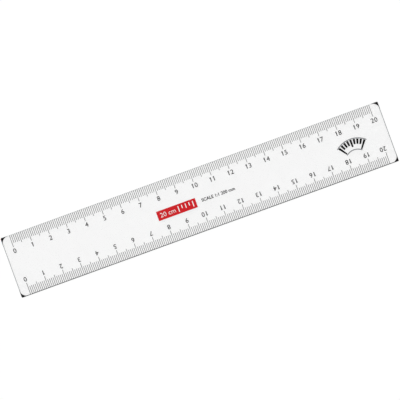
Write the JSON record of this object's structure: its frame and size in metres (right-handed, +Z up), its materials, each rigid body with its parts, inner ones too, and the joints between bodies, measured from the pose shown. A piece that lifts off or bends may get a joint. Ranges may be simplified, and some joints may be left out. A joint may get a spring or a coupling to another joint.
{
  "type": "flexible ruler",
  "caption": "Thin clear flexible ruler with a millimetre scale along both long edges, a red printed block and black printed corners.",
  "frame": {"origin": "middle of the underside, on the surface that the ruler lies on", "axes": "+X along the scale from the zero end to the 20 cm end, +Y across towards the scale whose numbers stand upright, +Z up out of the printed face"},
  "size_m": [0.21, 0.0332, 0.001],
  "materials": {
    "clear_plastic": "clear flexible PVC sheet, smooth and glossy",
    "black_ink": "black print, slightly glossy",
    "red_ink": "red print, slightly glossy",
    "white_ink": "white print",
    "grey_ink": "grey print"
  },
  "bodies": {
    "root": {"strip": "clear_plastic", "label_block": "red_ink", "corner_print_far_left": "black_ink", "corner_print_far_right": "black_ink", "corner_print_near_left": "black_ink", "corner_print_near_right": "black_ink"}
  },
  "joints": []
}
